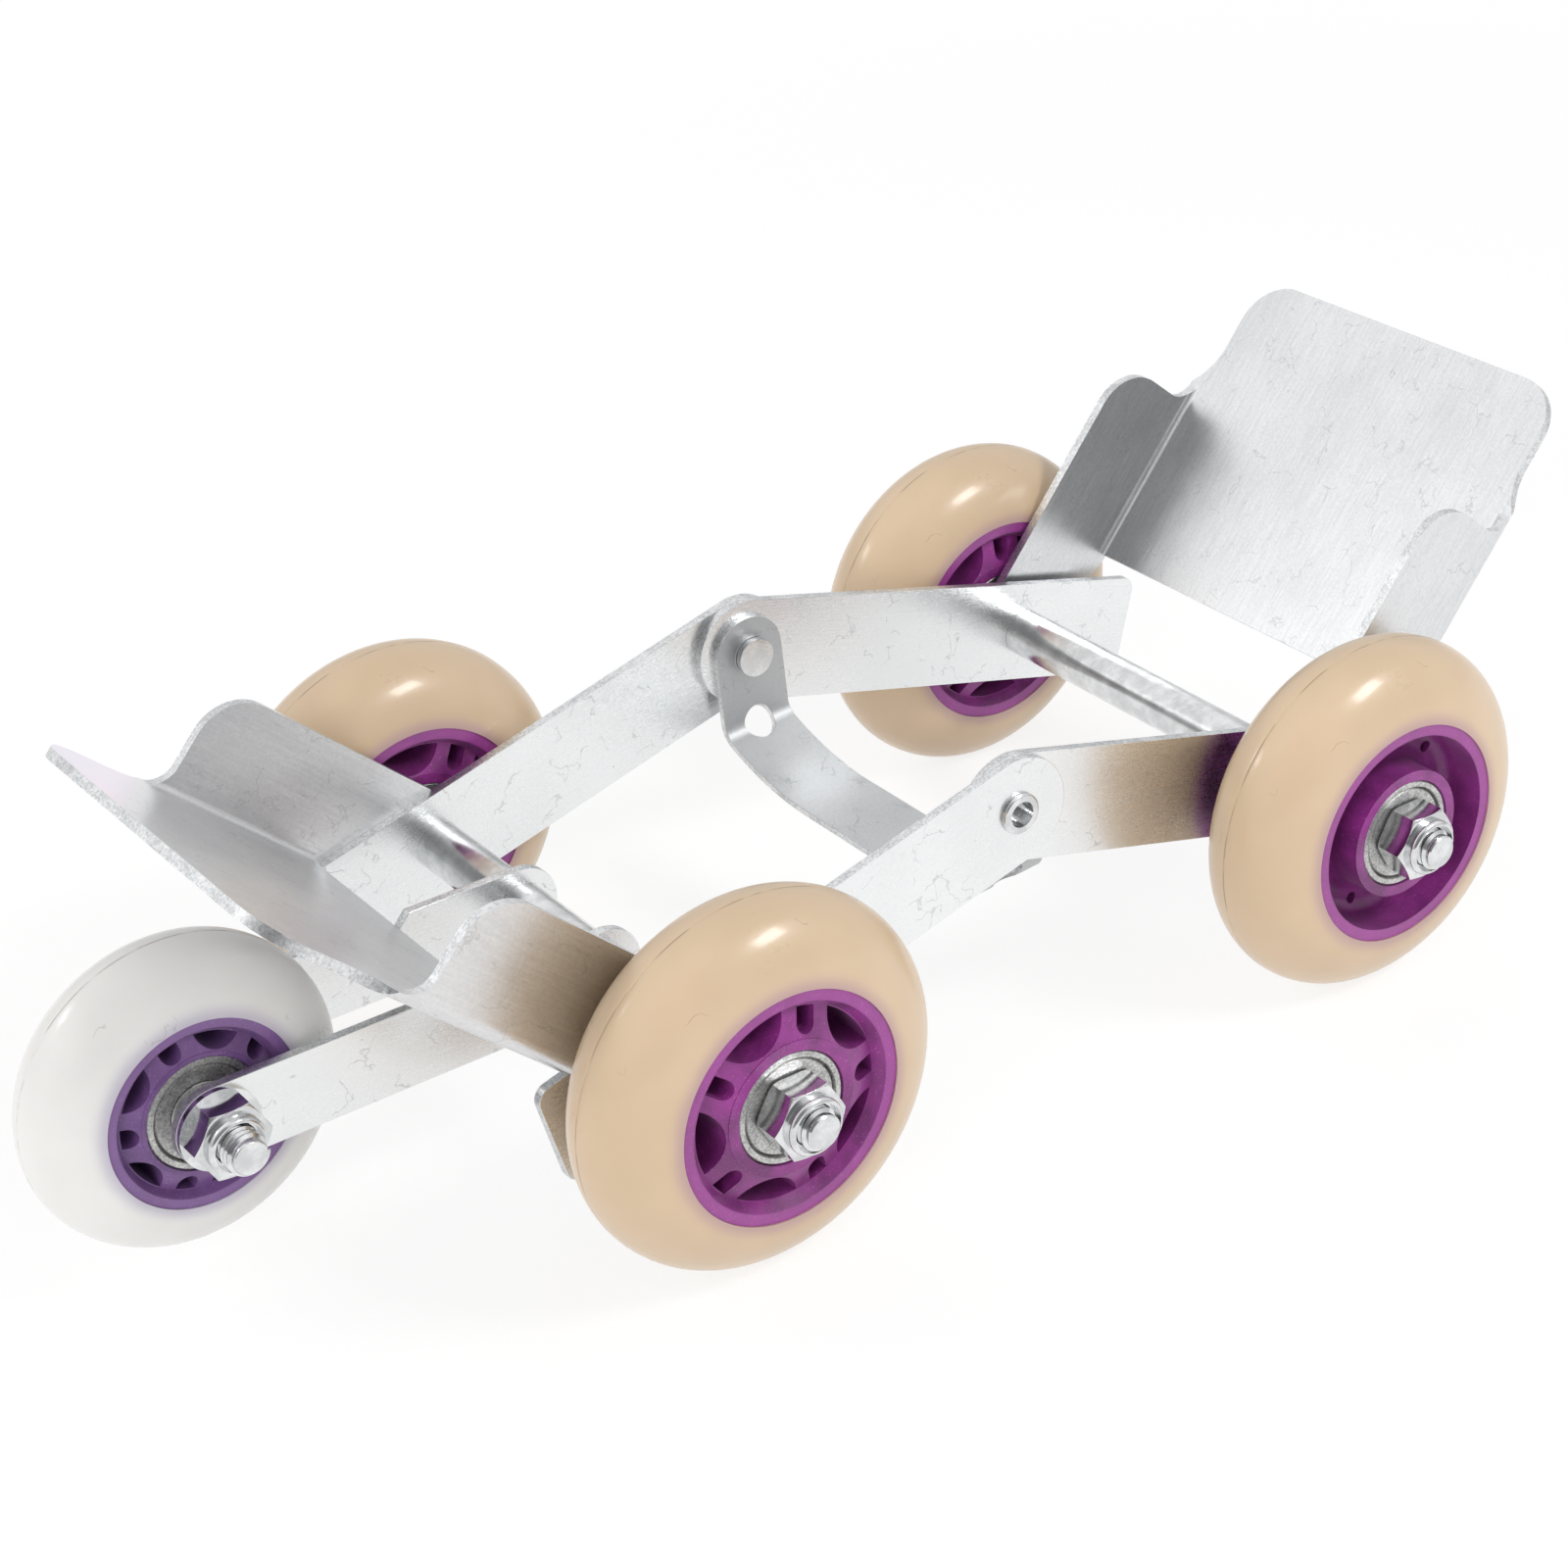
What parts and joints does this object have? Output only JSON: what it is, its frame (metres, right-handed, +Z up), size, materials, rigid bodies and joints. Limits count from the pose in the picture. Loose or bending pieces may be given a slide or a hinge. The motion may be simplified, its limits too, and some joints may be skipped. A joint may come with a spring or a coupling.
{
  "type": "folding tire skate",
  "caption": "Folding steel tire skate: hinged side bars, tilting end cradles, bearing wheels at the corners and a forked leading wheel, for rolling a vehicle whose tyre is flat.",
  "frame": {"origin": "on the floor, under the middle of the overall length and width", "axes": "+X along the length towards the rear cradle, away from the forked leading wheel; +Z up; -Y is the near side in the picture"},
  "size_m": [0.3268, 0.1654, 0.0986],
  "materials": {
    "zinc_plate": "bright zinc plate, finely brushed",
    "strap_steel": "grey zinc plate",
    "bright_steel": "bright plated",
    "bearing_steel": "ground steel with pressed shields",
    "tan_tyre": "glossy moulded polyurethane",
    "white_tyre": "glossy milky polyurethane",
    "magenta_hub": "moulded plastic with a pearl sheen",
    "violet_hub": "moulded plastic"
  },
  "bodies": {
    "front_frame": {"front_bar_near": "zinc_plate", "front_bar_far": "zinc_plate", "hinge_rivets": "bright_steel", "front_axle": "bright_steel", "front_axle_nuts": "bright_steel", "front_axle_washers": "bright_steel", "front_inner_tube": "bright_steel", "front_outer_tubes": "bright_steel", "near_front_inner_rings": "bright_steel", "near_front_bearing_spacer": "bright_steel", "far_front_inner_rings": "bright_steel", "far_front_bearing_spacer": "bright_steel"},
    "rear_frame": {"rear_bar_near": "zinc_plate", "rear_bar_far": "zinc_plate", "rear_axle": "bright_steel", "rear_axle_nuts": "bright_steel", "rear_axle_washers": "bright_steel", "rear_shims": "bright_steel", "rear_tube": "bright_steel", "near_rear_inner_rings": "bright_steel", "near_rear_bearing_spacer": "bright_steel", "far_rear_inner_rings": "bright_steel", "far_rear_bearing_spacer": "bright_steel"},
    "front_cradle": {"front_cradle": "zinc_plate"},
    "rear_cradle": {"rear_cradle": "zinc_plate"},
    "strap": {"strap": "strap_steel"},
    "fork": {"fork_arm_near": "zinc_plate", "fork_arm_far": "zinc_plate", "fifth_bolt": "bright_steel", "fifth_nut": "bright_steel", "fifth_spacers": "bright_steel", "fifth_inner_rings": "bright_steel", "fifth_bearing_spacer": "bright_steel"},
    "near_front_wheel": {"near_front_tyre": "tan_tyre", "near_front_hub": "magenta_hub", "near_front_bearings": "bearing_steel"},
    "far_front_wheel": {"far_front_tyre": "tan_tyre", "far_front_hub": "magenta_hub", "far_front_bearings": "bearing_steel"},
    "near_rear_wheel": {"near_rear_tyre": "tan_tyre", "near_rear_hub": "magenta_hub", "near_rear_bearings": "bearing_steel"},
    "far_rear_wheel": {"far_rear_tyre": "tan_tyre", "far_rear_hub": "magenta_hub", "far_rear_bearings": "bearing_steel"},
    "fifth_wheel": {"fifth_tyre": "white_tyre", "fifth_hub": "violet_hub", "fifth_bearings": "bearing_steel"}
  },
  "joints": [
    {"name": "fold", "type": "hinge", "parent": "front_frame", "child": "rear_frame", "pos_m": [0.01881, 0, 0.05529], "axis": [0, 1, 0], "range_deg": [-45, 88]},
    {"name": "strap_swing", "type": "hinge", "parent": "front_frame", "child": "strap", "pos_m": [0.01881, 0, 0.05529], "axis": [0, 1, 0], "continuous": true},
    {"name": "fork_swing", "type": "hinge", "parent": "front_frame", "child": "fork", "pos_m": [-0.05418, 0, 0.036], "axis": [0, 1, 0], "range_deg": [-90, 0]},
    {"name": "front_cradle_tilt", "type": "hinge", "parent": "front_frame", "child": "front_cradle", "pos_m": [-0.05418, 0, 0.036], "axis": [0, 1, 0], "range_deg": [0, 45]},
    {"name": "rear_cradle_tilt", "type": "hinge", "parent": "rear_frame", "child": "rear_cradle", "pos_m": [0.09181, 0, 0.036], "axis": [0, -1, 0], "range_deg": [-8, 45]},
    {"name": "near_front_spin", "type": "hinge", "parent": "front_frame", "child": "near_front_wheel", "pos_m": [-0.05418, -0.0611, 0.036], "axis": [0, 1, 0], "continuous": true},
    {"name": "far_front_spin", "type": "hinge", "parent": "front_frame", "child": "far_front_wheel", "pos_m": [-0.05418, 0.0611, 0.036], "axis": [0, 1, 0], "continuous": true},
    {"name": "near_rear_spin", "type": "hinge", "parent": "rear_frame", "child": "near_rear_wheel", "pos_m": [0.09181, -0.0611, 0.036], "axis": [0, 1, 0], "continuous": true},
    {"name": "far_rear_spin", "type": "hinge", "parent": "rear_frame", "child": "far_rear_wheel", "pos_m": [0.09181, 0.0611, 0.036], "axis": [0, 1, 0], "continuous": true},
    {"name": "fifth_spin", "type": "hinge", "parent": "fork", "child": "fifth_wheel", "pos_m": [-0.13338, 0, 0.036], "axis": [0, 1, 0], "continuous": true}
  ]
}
